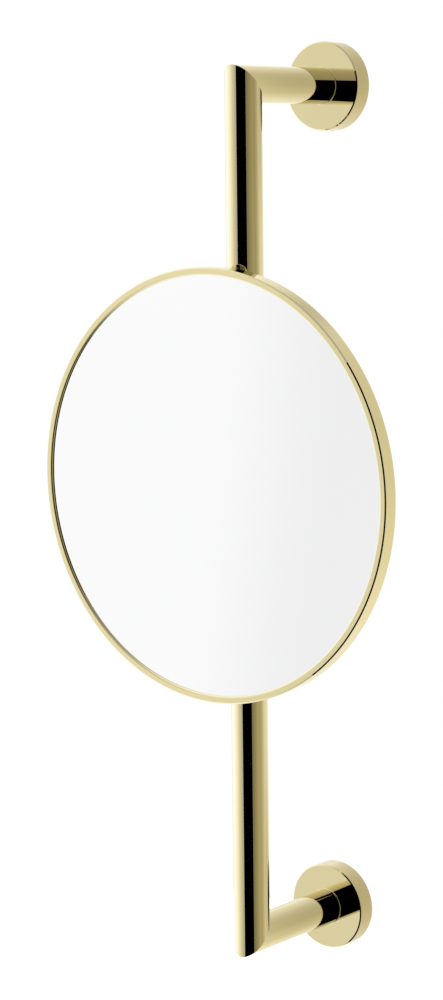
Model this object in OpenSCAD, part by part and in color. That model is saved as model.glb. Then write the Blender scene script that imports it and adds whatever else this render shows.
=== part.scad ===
// Cosmetic mirror on a wall rail: a round mirror that slides up and down an upright tube,
// swings round it and tilts on a ball. Sizes are in millimetres.
// The origin is on the wall, midway between the two wall flanges. X runs along the wall to the
// right of someone who faces it, Y runs into the wall and Z runs up, so the object has negative Y.

/* [Rail and arms] */
// Outer diameter of the rail and of both arms
tube_d = 18; // [15:0.5:20]
// Wall thickness of the rail and of both arms
tube_wall = 1.5; // [1:0.1:2.5]
// Height from the lower arm's centre line to the upper arm's
arm_spacing = 420; // [300:5:600]
// Distance from the wall to the rail's centre line
rail_standoff = 72; // [64:1:95]
// Length of each leg of the keys inside the two corners
corner_leg = 20; // [10:1:28]
// Gap round a key or a plug that is brazed into a tube
braze_gap = 0.05; // [0.02:0.01:0.1]

/* [Wall flanges] */
// Outer diameter of a flange
flange_d = 44; // [43:0.5:60]
// Depth of a flange from the wall to its face
flange_depth = 10; // [9.5:0.5:14]
// Thickness of a flange's round side
flange_side = 2; // [1.5:0.1:2.4]
// Thickness of a flange's face
flange_face = 2.5; // [1.8:0.1:3]
// Radius of the flange's front edge
flange_edge_r = 0.8; // [0.2:0.1:1.2]
// Thickness of the plate that is screwed to the wall
wall_plate_t = 5; // [4:0.1:5.5]
// Gap round the wall plate inside the flange
wall_plate_gap = 0.3; // [0.1:0.05:0.5]
// Distance between a wall plate's two screw holes
wall_screw_spacing = 24; // [23:0.5:25]
// Diameter of a wall plate's screw holes
wall_screw_d = 4.5; // [3.5:0.1:5]
// Diameter of the countersink for a wall screw's head
wall_countersink_d = 8.6; // [7:0.1:9]
// Depth of the groove round the wall plate that the grub screw bites into
lock_groove_depth = 1; // [0.6:0.1:1.2]
// Width of that groove
lock_groove_w = 3; // [2.6:0.1:3.2]
// Diameter of the flange's grub screw
grub_d = 4; // [3:0.1:4.4]
// Key size of the flange's grub screw, across the socket's corners
grub_key_d = 2.2; // [1.5:0.1:2.6]

/* [Arm fixing] */
// Length of the threaded plug in the wall end of an arm
arm_plug_l = 18; // [14:1:28]
// Diameter of the screw that pulls the arm onto its flange
arm_screw_d = 6; // [4:0.5:7]
// Length of that screw under its head
arm_screw_l = 16; // [12:1:17]
// Diameter of that screw's head
arm_screw_head_d = 10; // [9:0.5:11]
// Height of that screw's head
arm_screw_head_t = 2.6; // [2:0.1:3.2]
// Key size of that screw, across the socket's corners
arm_key_d = 4.6; // [3:0.1:5]
// Thickness of the lock washer under that head
arm_washer_t = 1; // [0.6:0.1:1.4]
// Gap between a screw and the hole or thread that it runs in
thread_gap = 0.05; // [0.02:0.01:0.1]

/* [Slider] */
// Height of the mirror's centre above the middle of the rail
mirror_lift = 19; // [-120:1:120]
// Height of the slider's collar
collar_h = 32; // [26:1:50]
// Wall thickness of the collar
collar_wall = 3.15; // [2.8:0.05:4]
// Radius of the collar's edges
collar_edge_r = 1; // [0.3:0.1:1.5]
// Wall thickness of the nylon bushes between rail and collar
bush_wall = 1.75; // [1.2:0.05:2.5]
// Thickness of the lip at the outer end of each bush
bush_lip_t = 1.6; // [1:0.1:3]
// How far a bush's lip stays inside the collar's outside
bush_lip_inset = 1; // [0.4:0.1:1.6]
// Width of the slot that lets a bush spring open
bush_slot_w = 2; // [1:0.5:4]
// Gap between the rail and the bushes that slide on it
slide_gap = 0.05; // [0.02:0.01:0.1]
// Gap between the bushes and the collar that turns on them
turn_gap = 0.05; // [0.02:0.01:0.1]
// Gap between the ends of the collar and the bushes' lips
lip_gap = 0.1; // [0.05:0.05:0.3]
// Diameter of the tension screw and its friction pad behind the rail
tension_d = 6; // [5:0.5:7]
// Length of the friction pad
tension_pad_l = 2.4; // [1.8:0.1:3]
// Length of the tension screw
tension_screw_l = 3.8; // [3:0.1:4.2]
// Key size of the tension screw, across the socket's corners
tension_key_d = 3.4; // [2.5:0.1:4]
// How far the rear boss stands proud of the collar
rear_boss_rise = 1.7; // [1:0.1:2.5]
// Diameter of the rear boss
rear_boss_d = 12; // [10:0.5:14]

/* [Ball joint] */
// Diameter of the ball
ball_d = 10; // [9.4:0.1:10.4]
// Gap between the ball and its socket
ball_gap = 0.1; // [0.05:0.01:0.2]
// Distance from the collar's front boss to the ball's centre
ball_stand = 4.6; // [4.5:0.1:6]
// Diameter of the stud's shank, which turns in the collar
stud_d = 6; // [5.6:0.1:6.8]
// Diameter of the thinner end of the stud, which is screwed into the ball
stud_neck_d = 4.9; // [4:0.1:5.2]
// How far the stud reaches past the ball's centre
stud_bite = 1.5; // [0.5:0.1:2.5]
// Diameter of the stud's head inside the collar
stud_head_d = 9.2; // [8.4:0.1:10]
// Thickness of the stud's head
stud_head_t = 1; // [0.8:0.1:1.2]
// Gap between the rail and the stud's head
stud_head_gap = 1; // [0.8:0.1:1.2]
// Thickness of the friction washer on the stud
stud_washer_t = 0.4; // [0.3:0.1:0.6]
// Gap between the collar's front boss and the stud's shoulder
stud_end_gap = 0.2; // [0.1:0.05:0.3]
// Diameter of the collar's front boss
front_boss_d = 14; // [12:0.5:14.5]
// How far the front boss stands proud of the collar
front_boss_rise = 0.9; // [0.6:0.1:2]
// Thickness of the socket over the front of the ball
cup_wall = 1; // [0.6:0.1:1.1]
// Depth of the socket behind the ball's centre
socket_back = 3.3; // [3.2:0.1:3.5]
// Step between the ball's centre and the nylon seat
seat_step = 0.2; // [0.1:0.05:0.4]
// Outer diameter of the nylon seat
seat_d = 15; // [14.2:0.1:16]
// Thickness of the ring nut that closes the socket
ring_nut_t = 0.8; // [0.6:0.1:0.9]
// Opening of the ring nut, which is smaller than the ball
ring_nut_hole_d = 9; // [8.9:0.1:9.2]
// Width of the ring nut's two spanner slots
ring_nut_slot_w = 1.6; // [1:0.1:2.2]
// Thickness of the disc spring behind the seat
disc_spring_t = 0.35; // [0.25:0.05:0.4]
// Height of the disc spring's cone
disc_spring_rise = 0.15; // [0.05:0.05:0.25]
// Wall of the socket hub round the seat
hub_wall = 2.9; // [2:0.1:3]
// Diameter of the hub's flange
hub_flange_d = 34; // [33:0.5:44]
// Thickness of the hub's flange
hub_flange_t = 1.4; // [1:0.1:1.8]
// Diameter of the circle that the three hub screws lie on
hub_screw_circle_d = 27.4; // [27.2:0.1:27.6]
// Diameter of a hub screw
hub_screw_d = 3; // [2.5:0.1:3.5]
// Diameter of a hub screw's head
hub_screw_head_d = 5.2; // [4.5:0.1:5.6]
// Height of a hub screw's head
hub_screw_head_t = 1.2; // [0.8:0.1:1.6]
// Length of a hub screw under its head
hub_screw_l = 3; // [2.6:0.1:3.4]

/* [Mirror head] */
// Outer diameter of the mirror's rim
rim_d = 210; // [170:1:260]
// Thickness of the rim's round wall
rim_wall = 1.8; // [1.4:0.1:3]
// Width of the rim's front lip
lip_w = 3.8; // [3.2:0.1:6]
// Thickness of the rim's front lip
lip_t = 1.2; // [0.8:0.1:2]
// Radius of the rim's outer front edge
rim_front_r = 1.2; // [0.3:0.1:1.3]
// Radius of the rim's inner front edge and rear edge
rim_small_r = 0.3; // [0.1:0.05:0.35]
// Thickness of the mirror glass
glass_t = 3; // [2:0.5:5]
// Gap round the edge of the glass, the pad and the back plate
glass_gap = 0.3; // [0.1:0.05:0.5]
// Thickness of the pad behind the glass
pad_t = 1; // [0.6:0.1:2]
// Thickness of the back plate
back_plate_t = 1.2; // [1.1:0.1:2]
// Thickness of the spring ring that holds the back plate in the rim
snap_ring_t = 1; // [0.6:0.1:1.4]
// Radial width of the spring ring
snap_ring_w = 1.6; // [1.2:0.1:2.4]
// Depth of the groove for the spring ring
snap_groove_depth = 0.8; // [0.5:0.1:1]
// Gap between the spring ring's two ends
snap_ring_opening = 8; // [4:1:16]
// Thickness of the rim behind the spring ring
rear_lip_t = 0.6; // [0.4:0.1:1.2]

/* [Hidden] */

$fn = 128;
hex = 6;
cut = 1;
socket_share = 0.6;

polished_gold = [0.87, 0.80, 0.55];
raw_brass = [0.80, 0.66, 0.36];
steel = [0.72, 0.73, 0.75];
black_nylon = [0.12, 0.12, 0.13];
white_nylon = [0.90, 0.89, 0.86];
felt_grey = [0.45, 0.45, 0.47];
silver_glass = [0.90, 0.93, 0.95];

// Rail and arms
tube_r = tube_d / 2;
tube_bore_r = tube_r - tube_wall;
infill_r = tube_bore_r - braze_gap;
arm_z = arm_spacing / 2;

// Wall flanges, measured from the wall towards the front
flange_r = flange_d / 2;
flange_bore_r = flange_r - flange_side;
flange_cavity = flange_depth - flange_face;
wall_plate_r = flange_bore_r - wall_plate_gap;
head_room = 1.5;
wall_plate_hole_r = arm_screw_head_d / 2 + head_room;
lock_groove_z = wall_plate_t / 2;
lock_groove_r = wall_plate_r - lock_groove_depth;
grub_tip_gap = 0.1;
grub_inset = 0.3;
grub_socket_depth = 1.2;
arm_head_z = flange_cavity - arm_washer_t - arm_screw_head_t;
arm_washer_rim = 0.2;
arm_washer_split_w = 0.8;

// Slider, measured outwards from the rail's centre line
bush_in_r = tube_r + slide_gap;
bush_out_r = bush_in_r + bush_wall;
collar_in_r = bush_out_r + turn_gap;
collar_r = collar_in_r + collar_wall;
bush_lip_r = collar_r - bush_lip_inset;
bush_lip_z = collar_h / 2 + lip_gap;
window_margin = 1.4;
window_z = stud_head_d / 2 + window_margin;
rear_boss_end = collar_r + rear_boss_rise;
tension_r = tension_d / 2;
tension_screw_start = bush_in_r + tension_pad_l;
tension_socket_depth = 2;

// Ball joint, measured forwards from the rail's centre line
front_boss_end = collar_r + front_boss_rise;
stud_head_back = tube_r + stud_head_gap;
stud_head_front = stud_head_back + stud_head_t;
stud_seat = stud_head_front + stud_washer_t;
stud_seat_gap = 0.2;
stud_washer_inset = 0.1;
stud_shoulder = front_boss_end + stud_end_gap;
ball_r = ball_d / 2;
socket_r = ball_r + ball_gap;
ball_reach = front_boss_end + ball_stand;
hub_rear = ball_reach - socket_back;
seat_front = ball_reach - seat_step;
seat_r = seat_d / 2;
spring_back = hub_rear + ring_nut_t;
seat_back = spring_back + disc_spring_t + disc_spring_rise;
spring_edge_gap = 0.1;
disc_spring_w = 1.9;
disc_spring_out_r = seat_r - spring_edge_gap;
disc_spring_in_r = disc_spring_out_r - disc_spring_w;
hub_bore_r = seat_r + thread_gap;
hub_r = hub_bore_r + hub_wall;
hub_screw_count = 3;

// Mirror head, stacked forwards from the face that the hub is screwed to
back_plate_back = ball_reach + socket_r;
back_plate_front = back_plate_back + back_plate_t;
pad_front = back_plate_front + pad_t;
glass_front = pad_front + glass_t;
rim_front = glass_front + lip_t;
snap_ring_back = back_plate_back - snap_ring_t;
rim_rear = snap_ring_back - rear_lip_t;
rim_r = rim_d / 2;
rim_bore_r = rim_r - rim_wall;
insert_r = rim_bore_r - glass_gap;
nose_step = 1.5;
nose_r = hub_r - nose_step;
nose_gap = 0.1;
pad_hole_gap = 0.5;
hub_back_face = back_plate_back - hub_flange_t;
hub_screw_hole_r = hub_screw_d / 2 + thread_gap;
hub_screw_key_d = hub_screw_d * 0.8;
snap_ring_gap = 0.1;
snap_ring_out_r = rim_bore_r + snap_groove_depth - snap_ring_gap;

// Puts its children on an arm's centre line, with Z running from the wall to the front and Y up.
module on_arm(side) {
    translate([0, 0, side * arm_z]) rotate([90, 0, 0]) children();
}

// Puts its children at the mirror's height, with Z running from the rail to the front and Y up.
module on_head() {
    translate([0, -rail_standoff, mirror_lift]) rotate([90, 0, 0]) children();
}

// Puts its children at the slider's height on the rail, upright.
module on_rail() {
    translate([0, -rail_standoff, mirror_lift]) children();
}

// A disc or ring of the given radii between two heights.
module ring(out_r, in_r, low, high) {
    difference() {
        translate([0, 0, low]) cylinder(r = out_r, h = high - low);
        if (in_r > 0) translate([0, 0, low - cut]) cylinder(r = in_r, h = high - low + 2 * cut);
    }
}

// Takes a square corner off a flat outline and leaves it round. The corner is at the origin and the
// outline lies in the quarter that sign_x and sign_y point to.
module round_off(r, sign_x, sign_y) {
    difference() {
        translate([sign_x > 0 ? -cut : -r, sign_y > 0 ? -cut : -r]) square(r + cut);
        translate([sign_x * r, sign_y * r]) circle(r = r);
    }
}

// A solid rod or a bore along an arm, from the given distance off the wall to the mitre at the rail.
module mitred_arm_rod(r, start) {
    difference() {
        translate([0, 0, start]) cylinder(r = r, h = rail_standoff + 2 * tube_r - start);
        translate([0, 0, rail_standoff]) rotate([45, 0, 0])
            translate([-2 * tube_d, -2 * tube_d, 0]) cube([4 * tube_d, 4 * tube_d, 3 * tube_d]);
    }
}

// A solid rod along the rail, from the given height up to the upper mitre.
module mitred_rail_rod(r, start) {
    difference() {
        translate([0, -rail_standoff, start]) cylinder(r = r, h = arm_z + 2 * tube_r - start);
        translate([0, -rail_standoff, arm_z]) rotate([-45, 0, 0])
            translate([-2 * tube_d, -2 * tube_d, 0]) cube([4 * tube_d, 4 * tube_d, 3 * tube_d]);
    }
}

module wall_plate(side) {
    color(steel) on_arm(side) difference() {
        ring(wall_plate_r, wall_plate_hole_r, 0, wall_plate_t);
        ring(wall_plate_r + cut, lock_groove_r,
             lock_groove_z - lock_groove_w / 2, lock_groove_z + lock_groove_w / 2);
        for (x = [-1, 1] * wall_screw_spacing / 2) translate([x, 0, 0]) {
            translate([0, 0, -cut]) cylinder(d = wall_screw_d, h = wall_plate_t + 2 * cut);
            translate([0, 0, wall_plate_t - (wall_countersink_d - wall_screw_d) / 2])
                cylinder(d1 = wall_screw_d, d2 = wall_countersink_d,
                         h = (wall_countersink_d - wall_screw_d) / 2);
            translate([0, 0, wall_plate_t]) cylinder(d = wall_countersink_d, h = cut);
        }
    }
}

module flange(side) {
    color(polished_gold) on_arm(side) difference() {
        rotate_extrude() difference() {
            square([flange_r, flange_depth]);
            translate([flange_r, flange_depth]) round_off(flange_edge_r, -1, -1);
            translate([-cut, -cut]) square([flange_bore_r + cut, flange_cavity + cut]);
        }
        cylinder(r = arm_screw_d / 2 + thread_gap, h = flange_depth + cut);
        translate([0, 0, lock_groove_z]) rotate([90, 0, 0])
            translate([0, 0, flange_bore_r - cut])
                cylinder(r = grub_d / 2 + thread_gap, h = flange_side + 2 * cut);
    }
}

// The grub screws sit at the underside of each flange. Their thin points stand in the wall plate's
// groove, so the flange can't come off the wall.
module flange_grub_screws() {
    grub_end = flange_r - grub_inset;
    color(steel) for (side = [-1, 1]) on_arm(side)
        translate([0, 0, lock_groove_z]) rotate([90, 0, 0]) difference() {
            union() {
                ring(lock_groove_w / 2 - grub_tip_gap, 0, lock_groove_r + grub_tip_gap, grub_end);
                ring(grub_d / 2, 0, flange_bore_r, grub_end);
            }
            translate([0, 0, grub_end - grub_socket_depth])
                cylinder(d = grub_key_d, h = grub_socket_depth + cut, $fn = hex);
        }
}

module upper_arm_tube() {
    on_arm(1) difference() {
        mitred_arm_rod(tube_r, flange_depth);
        translate([0, 0, -cut]) cylinder(r = tube_bore_r, h = rail_standoff + 3 * tube_r);
    }
}

module upper_arm() {
    color(polished_gold) upper_arm_tube();
}

module lower_arm() {
    color(polished_gold) mirror([0, 0, 1]) upper_arm_tube();
}

module arm_plug(side) {
    color(raw_brass) on_arm(side)
        ring(infill_r, arm_screw_d / 2 + thread_gap, flange_depth, flange_depth + arm_plug_l);
}

module arm_screws() {
    color(steel) for (side = [-1, 1]) on_arm(side) difference() {
        union() {
            translate([0, 0, arm_head_z]) cylinder(d = arm_screw_head_d, h = arm_screw_head_t);
            translate([0, 0, arm_head_z]) cylinder(d = arm_screw_d, h = arm_screw_head_t + arm_screw_l);
        }
        translate([0, 0, arm_head_z - cut])
            cylinder(d = arm_key_d, h = arm_screw_head_t * socket_share + cut, $fn = hex);
    }
}

module arm_lock_washers() {
    washer_r = arm_screw_head_d / 2 + arm_washer_rim;
    color(steel) for (side = [-1, 1]) on_arm(side) difference() {
        ring(washer_r, arm_screw_d / 2 + 2 * thread_gap, flange_cavity - arm_washer_t, flange_cavity);
        translate([0, -arm_washer_split_w / 2, flange_cavity - arm_washer_t - cut])
            cube([washer_r + cut, arm_washer_split_w, arm_washer_t + 2 * cut]);
    }
}

module rail_tube() {
    color(polished_gold) difference() {
        union() {
            mitred_rail_rod(tube_r, 0);
            mirror([0, 0, 1]) mitred_rail_rod(tube_r, 0);
        }
        translate([0, -rail_standoff, -arm_spacing])
            cylinder(r = tube_bore_r, h = 2 * arm_spacing);
    }
}

// A solid elbow that fills the bore round an upper corner.
module corner_elbow() {
    mitred_rail_rod(infill_r, arm_z - corner_leg);
    on_arm(1) mitred_arm_rod(infill_r, rail_standoff - corner_leg);
}

module upper_corner_key() {
    color(raw_brass) corner_elbow();
}

module lower_corner_key() {
    color(raw_brass) mirror([0, 0, 1]) corner_elbow();
}

// A split sleeve with a lip that runs over the end of the collar.
module glide_bush(side) {
    color(black_nylon) on_rail() mirror([0, 0, side < 0 ? 1 : 0]) difference() {
        union() {
            ring(bush_out_r, bush_in_r, window_z, bush_lip_z + bush_lip_t);
            ring(bush_lip_r, bush_in_r, bush_lip_z, bush_lip_z + bush_lip_t);
        }
        translate([0, -bush_slot_w / 2, window_z - cut])
            cube([bush_lip_r + cut, bush_slot_w, bush_lip_z + bush_lip_t - window_z + 2 * cut]);
    }
}

module slider_collar() {
    color(polished_gold) on_rail() difference() {
        union() {
            rotate_extrude() difference() {
                translate([0, -collar_h / 2]) square([collar_r, collar_h]);
                translate([collar_r, collar_h / 2]) round_off(collar_edge_r, -1, -1);
                translate([collar_r, -collar_h / 2]) round_off(collar_edge_r, -1, 1);
            }
            rotate([90, 0, 0]) cylinder(d = front_boss_d, h = front_boss_end);
            rotate([-90, 0, 0]) cylinder(d = rear_boss_d, h = rear_boss_end);
        }
        translate([0, 0, -collar_h]) cylinder(r = collar_in_r, h = 2 * collar_h);
        rotate([90, 0, 0]) cylinder(d = stud_head_d + 2 * stud_seat_gap, h = stud_seat);
        rotate([90, 0, 0]) cylinder(r = stud_d / 2 + turn_gap, h = front_boss_end + cut);
        rotate([-90, 0, 0]) cylinder(r = tension_r + thread_gap, h = rear_boss_end + cut);
    }
}

// The pad is hollowed to the rail that it presses on.
module friction_pad() {
    color(white_nylon) on_rail() difference() {
        rotate([-90, 0, 0]) cylinder(r = tension_r - thread_gap, h = tension_screw_start);
        translate([0, 0, -tension_d]) cylinder(r = bush_in_r, h = 2 * tension_d);
    }
}

module tension_screw() {
    screw_end = tension_screw_start + tension_screw_l;
    color(steel) on_rail() rotate([-90, 0, 0]) difference() {
        ring(tension_r, 0, tension_screw_start, screw_end);
        translate([0, 0, screw_end - tension_socket_depth])
            cylinder(d = tension_key_d, h = tension_socket_depth + cut, $fn = hex);
    }
}

module swivel_stud() {
    color(steel) on_head() {
        ring(stud_head_d / 2, 0, stud_head_back, stud_head_front);
        ring(stud_d / 2, 0, stud_head_back, stud_shoulder);
        ring(stud_neck_d / 2, 0, stud_head_back, ball_reach + stud_bite);
    }
}

module stud_washer() {
    color(black_nylon) on_head()
        ring(stud_head_d / 2 - stud_washer_inset, stud_d / 2 + turn_gap, stud_head_front, stud_seat);
}

module stud_ball() {
    color(steel) on_head() difference() {
        translate([0, 0, ball_reach]) sphere(r = ball_r);
        ring(stud_neck_d / 2 + thread_gap, 0, 0, ball_reach + stud_bite + thread_gap);
    }
}

module hub_screw_places() {
    for (i = [0 : hub_screw_count - 1])
        rotate([0, 0, 90 + i * 360 / hub_screw_count])
            translate([hub_screw_circle_d / 2, 0, 0]) children();
}

module socket_hub() {
    color(polished_gold) on_head() difference() {
        union() {
            ring(hub_r, 0, hub_rear, back_plate_back);
            ring(hub_flange_d / 2, 0, hub_back_face, back_plate_back);
            ring(nose_r, 0, hub_back_face, back_plate_back + cup_wall);
        }
        ring(hub_bore_r, 0, hub_rear - cut, seat_front);
        translate([0, 0, ball_reach]) sphere(r = socket_r);
        hub_screw_places() ring(hub_screw_hole_r, 0, hub_rear, back_plate_back + cut);
    }
}

module ball_seat() {
    color(white_nylon) on_head() difference() {
        ring(seat_r, 0, seat_back, seat_front);
        translate([0, 0, ball_reach]) sphere(r = socket_r);
    }
}

// A shallow cone that presses the seat onto the ball.
module disc_spring() {
    color(steel) on_head() rotate_extrude() polygon([
        [disc_spring_in_r, spring_back + disc_spring_rise],
        [disc_spring_in_r, spring_back + disc_spring_rise + disc_spring_t],
        [disc_spring_out_r, spring_back + disc_spring_t],
        [disc_spring_out_r, spring_back]
    ]);
}

module socket_ring_nut() {
    color(steel) on_head() difference() {
        ring(seat_r, ring_nut_hole_d / 2, hub_rear, spring_back);
        translate([-seat_r - cut, -ring_nut_slot_w / 2, hub_rear - cut])
            cube([2 * seat_r + 2 * cut, ring_nut_slot_w, ring_nut_t / 2 + cut]);
    }
}

module hub_screws() {
    head_back = hub_back_face - hub_screw_head_t;
    color(steel) on_head() hub_screw_places() difference() {
        union() {
            ring(hub_screw_head_d / 2, 0, head_back, hub_back_face);
            ring(hub_screw_d / 2, 0, head_back, hub_back_face + hub_screw_l);
        }
        translate([0, 0, head_back - cut])
            cylinder(d = hub_screw_key_d, h = hub_screw_head_t * socket_share + cut, $fn = hex);
    }
}

module back_plate() {
    color(polished_gold) on_head() difference() {
        ring(insert_r, nose_r + nose_gap, back_plate_back, back_plate_front);
        hub_screw_places() ring(hub_screw_hole_r, 0, back_plate_back - cut, back_plate_front + cut);
    }
}

module spring_ring() {
    color(steel) on_head() difference() {
        ring(snap_ring_out_r, snap_ring_out_r - snap_ring_w, snap_ring_back, back_plate_back);
        translate([-snap_ring_opening / 2, -rim_r, snap_ring_back - cut])
            cube([snap_ring_opening, rim_r, snap_ring_t + 2 * cut]);
    }
}

module glass_pad() {
    color(felt_grey) on_head() difference() {
        ring(insert_r, nose_r + pad_hole_gap, back_plate_front, pad_front);
        hub_screw_places()
            ring(hub_screw_d / 2 + pad_hole_gap, 0, back_plate_front - cut, pad_front + cut);
    }
}

module mirror_glass() {
    color(silver_glass) on_head() ring(insert_r, 0, pad_front, glass_front);
}

module rim_ring() {
    color(polished_gold) on_head() rotate_extrude() difference() {
        translate([rim_r - lip_w, rim_rear]) square([lip_w, rim_front - rim_rear]);
        translate([0, rim_rear - cut]) square([rim_bore_r, glass_front - rim_rear + cut]);
        translate([0, snap_ring_back]) square([rim_bore_r + snap_groove_depth, snap_ring_t]);
        translate([rim_r, rim_front]) round_off(rim_front_r, -1, -1);
        translate([rim_r, rim_rear]) round_off(rim_small_r, -1, 1);
        translate([rim_r - lip_w, rim_front]) round_off(rim_small_r, 1, -1);
    }
}

wall_plate(1);  // upper_wall_plate
wall_plate(-1);  // lower_wall_plate
flange(1);  // upper_flange
flange(-1);  // lower_flange
flange_grub_screws();
upper_arm();
lower_arm();
arm_plug(1);  // upper_arm_plug
arm_plug(-1);  // lower_arm_plug
arm_screws();
arm_lock_washers();
rail_tube();
upper_corner_key();
lower_corner_key();
glide_bush(1);  // upper_glide_bush
glide_bush(-1);  // lower_glide_bush
slider_collar();
friction_pad();
tension_screw();
swivel_stud();
stud_washer();
stud_ball();
socket_hub();
ball_seat();
disc_spring();
socket_ring_nut();
hub_screws();
back_plate();
spring_ring();
glass_pad();
mirror_glass();
rim_ring();
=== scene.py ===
"""Looks of the cosmetic mirror on its wall rail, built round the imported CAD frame.

The sizes in the classes are millimetres in the part's own frame: X runs along the wall, Y into
the wall and Z up. Meshes are scaled to metres when they are handed over to the scene.
"""

import logging
import math
from collections.abc import Sequence
from dataclasses import dataclass, replace
from enum import Enum

import bmesh
import bpy
from mathutils import Matrix, Vector


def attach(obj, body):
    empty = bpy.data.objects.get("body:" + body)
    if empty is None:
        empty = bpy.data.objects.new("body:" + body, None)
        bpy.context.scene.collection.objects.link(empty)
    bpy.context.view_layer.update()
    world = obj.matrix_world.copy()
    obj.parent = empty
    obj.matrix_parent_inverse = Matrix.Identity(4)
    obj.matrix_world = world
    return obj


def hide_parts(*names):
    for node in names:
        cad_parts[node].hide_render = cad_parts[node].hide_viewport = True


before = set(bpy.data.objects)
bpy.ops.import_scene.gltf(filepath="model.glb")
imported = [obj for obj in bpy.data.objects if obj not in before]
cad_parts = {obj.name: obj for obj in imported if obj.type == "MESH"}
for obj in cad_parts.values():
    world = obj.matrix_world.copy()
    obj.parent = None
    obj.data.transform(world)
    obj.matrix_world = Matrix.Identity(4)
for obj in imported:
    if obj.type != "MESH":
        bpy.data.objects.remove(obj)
log = logging.getLogger("mirror_on_rail")

METRES = 0.001
FINE_TURN = 192
RIM_TURN = 320
SMALL_TURN = 64
EDGE_STEPS = 4
DOME_STEPS = 24
LARGEST_EDGE = 2.0
HEX_SIDES = 6
HALF_TURN = 180.0
SHARP_ANGLE = math.radians(28)
MERGE_GAP = 1e-4
HOLD = 0.06
OVERCUT = 1.0
FRONT_FACES = "front_faces"
FRONT_ANGLE = math.radians(1)
# The ray depth of a first bounce, as a screen and as the world count it
SCREEN_DEPTH = 1
WORLD_DEPTH = 2

Shape = bmesh.types.BMesh
Socket = bpy.types.NodeSocket
Pair = tuple[float, float]
Triple = tuple[float, float, float]
Colour = Triple
WHITE: Colour = (1, 1, 1)
BLACK: Colour = (0, 0, 0)


# Shapes


class Axis(Enum):
    """Where a turned piece's own Z axis points, as a turn about X in degrees."""

    UPRIGHT = 0
    FORWARD = 90
    BACKWARD = -90
    DOWNWARD = 180


class Carve(Enum):
    """What one solid does to another."""

    AWAY = "DIFFERENCE"
    ADD = "UNION"


@dataclass(frozen=True)
class Corner:
    """One corner of a turned piece's half section, in millimetres."""

    radius: float
    height: float
    rounding: float = 0.0


def placed(axis: Axis, origin: Sequence[float] = (0, 0, 0)) -> Matrix:
    """Gives the move that turns a piece's own Z axis and takes it to an origin."""
    return Matrix.Translation(origin) @ Matrix.Rotation(math.radians(axis.value), 4, "X")


def held_points(corners: Sequence[Corner], closed: bool) -> list[Corner]:
    """Adds a point just beside each rounding, so that flat faces shade flat up to it.

    Args:
        corners: the half section's corners in order
        closed: whether the last corner joins the first

    Returns:
        The corners with the holding points between them.
    """
    points: list[Corner] = []
    for corner, after in zip(corners, (*corners[1:], corners[0] if closed else corners[-1])):
        points.append(corner)
        across = after.radius - corner.radius
        up = after.height - corner.height
        span = math.hypot(across, up)
        if span < corner.rounding + after.rounding + 3 * HOLD:
            continue
        for start in (corner.rounding + HOLD, span - after.rounding - HOLD):
            share = start / span
            points.append(Corner(corner.radius + share * across, corner.height + share * up))
    return points


def turned(*corners: Corner, steps: int = FINE_TURN) -> Shape:
    """Turns a half section round the local Z axis.

    Args:
        corners: the half section's corners in order. It closes on itself, unless both of its
            ends lie on the axis.
        steps: how many faces the piece has round its axis

    Returns:
        A closed solid with its faces outwards.
    """
    shape = bmesh.new()
    closed = corners[0].radius > 0 or corners[-1].radius > 0
    points = held_points(corners, closed)
    verts = [shape.verts.new((point.radius, 0, point.height)) for point in points]
    for first, second in zip(verts, verts[1:]):
        shape.edges.new((first, second))
    if closed:
        shape.edges.new((verts[-1], verts[0]))
    for point, vert in zip(points, verts):
        if point.rounding > 0:
            bmesh.ops.bevel(
                shape,
                geom=[vert],
                offset=point.rounding,
                offset_type="OFFSET",
                segments=EDGE_STEPS if point.rounding < LARGEST_EDGE else DOME_STEPS,
                profile=0.5,
                affect="VERTICES",
                material=-1,
            )
    bmesh.ops.spin(
        shape,
        geom=shape.verts[:] + shape.edges[:],
        cent=(0, 0, 0),
        axis=(0, 0, 1),
        angle=math.tau,
        steps=steps,
        use_merge=True,
    )
    bmesh.ops.remove_doubles(shape, verts=shape.verts[:], dist=MERGE_GAP)
    bmesh.ops.recalc_face_normals(shape, faces=shape.faces[:])
    return shape


@dataclass(frozen=True)
class Step:
    """One length of a pin: its radius, its end, and the rounding of its near and far rims."""

    radius: float
    end: float
    near: float = 0.0
    far: float = 0.0


def pin(start: float, *lengths: Step, steps: int = SMALL_TURN) -> Shape:
    """Turns a solid pin along the local Z axis.

    Args:
        start: where the pin starts
        lengths: its lengths in order
        steps: how many faces the pin has round its axis

    Returns:
        The pin as a closed solid.
    """
    corners = [Corner(0, start)]
    for length in lengths:
        corners.append(Corner(length.radius, start, length.near))
        corners.append(Corner(length.radius, length.end, length.far))
        start = length.end
    return turned(*corners, Corner(0, start), steps=steps)


def rod(radius: float, low: float, high: float, edge: float = 0.0, steps: int = SMALL_TURN) -> Shape:
    """Makes a solid rod along the local Z axis, with the same edge at both ends."""
    return pin(low, Step(radius, high, edge, edge), steps=steps)


def ring(radii: Pair, ends: Pair, edges: Sequence[float], steps: int = FINE_TURN) -> Shape:
    """Makes a ring round the local Z axis.

    Args:
        radii: its inner and outer radius
        ends: where it starts and ends
        edges: the roundings of its inner and outer rim at the start, then outer and inner at the end
        steps: how many faces it has round

    Returns:
        The ring as a closed solid.
    """
    (inner, outer), (low, high) = radii, ends
    places = ((inner, low), (outer, low), (outer, high), (inner, high))
    return turned(*(Corner(*place, edge) for place, edge in zip(places, edges)), steps=steps)


def moved(shape: Shape, move: Matrix) -> Shape:
    """Moves a shape and gives it back."""
    bmesh.ops.transform(shape, matrix=move, verts=shape.verts[:])
    return shape


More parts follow.
